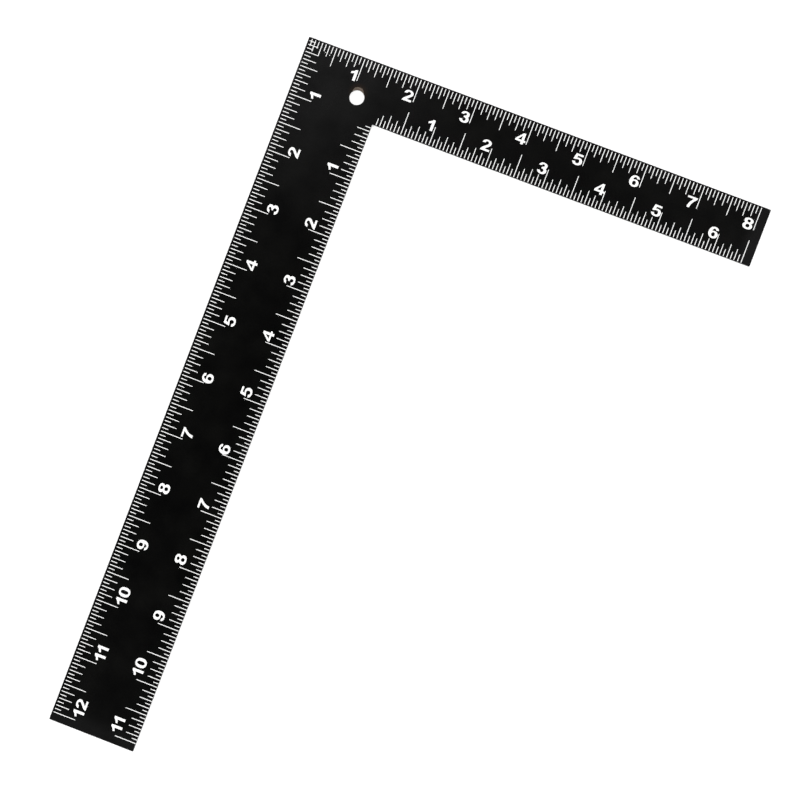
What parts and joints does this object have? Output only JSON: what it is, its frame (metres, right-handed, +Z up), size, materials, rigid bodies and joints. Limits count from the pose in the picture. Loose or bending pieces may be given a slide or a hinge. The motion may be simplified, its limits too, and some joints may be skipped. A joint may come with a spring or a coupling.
{
  "type": "steel square ruler",
  "caption": "Flat L-shaped steel square, black enamelled, with white inch scales along all four edges and a hanging hole at the heel.",
  "frame": {"origin": "middle of the bounding box of the underside, on the surface the square lies on", "axes": "+Z up out of the marked face; +X along the tongue (the narrow arm), away from the heel; the blade (the wide arm) runs along -Y, so +Y points at the heel's end"},
  "size_m": [0.2072, 0.3084, 0.0015],
  "materials": {
    "black_enamel": "black satin baked enamel over sheet steel",
    "white_print": "matt white screen-printed scale lines and numerals",
    "bare_steel": "dull brown-grey steel where the enamel has worn off beside the hole"
  },
  "bodies": {
    "root": {"square_blank": "black_enamel"}
  },
  "joints": []
}
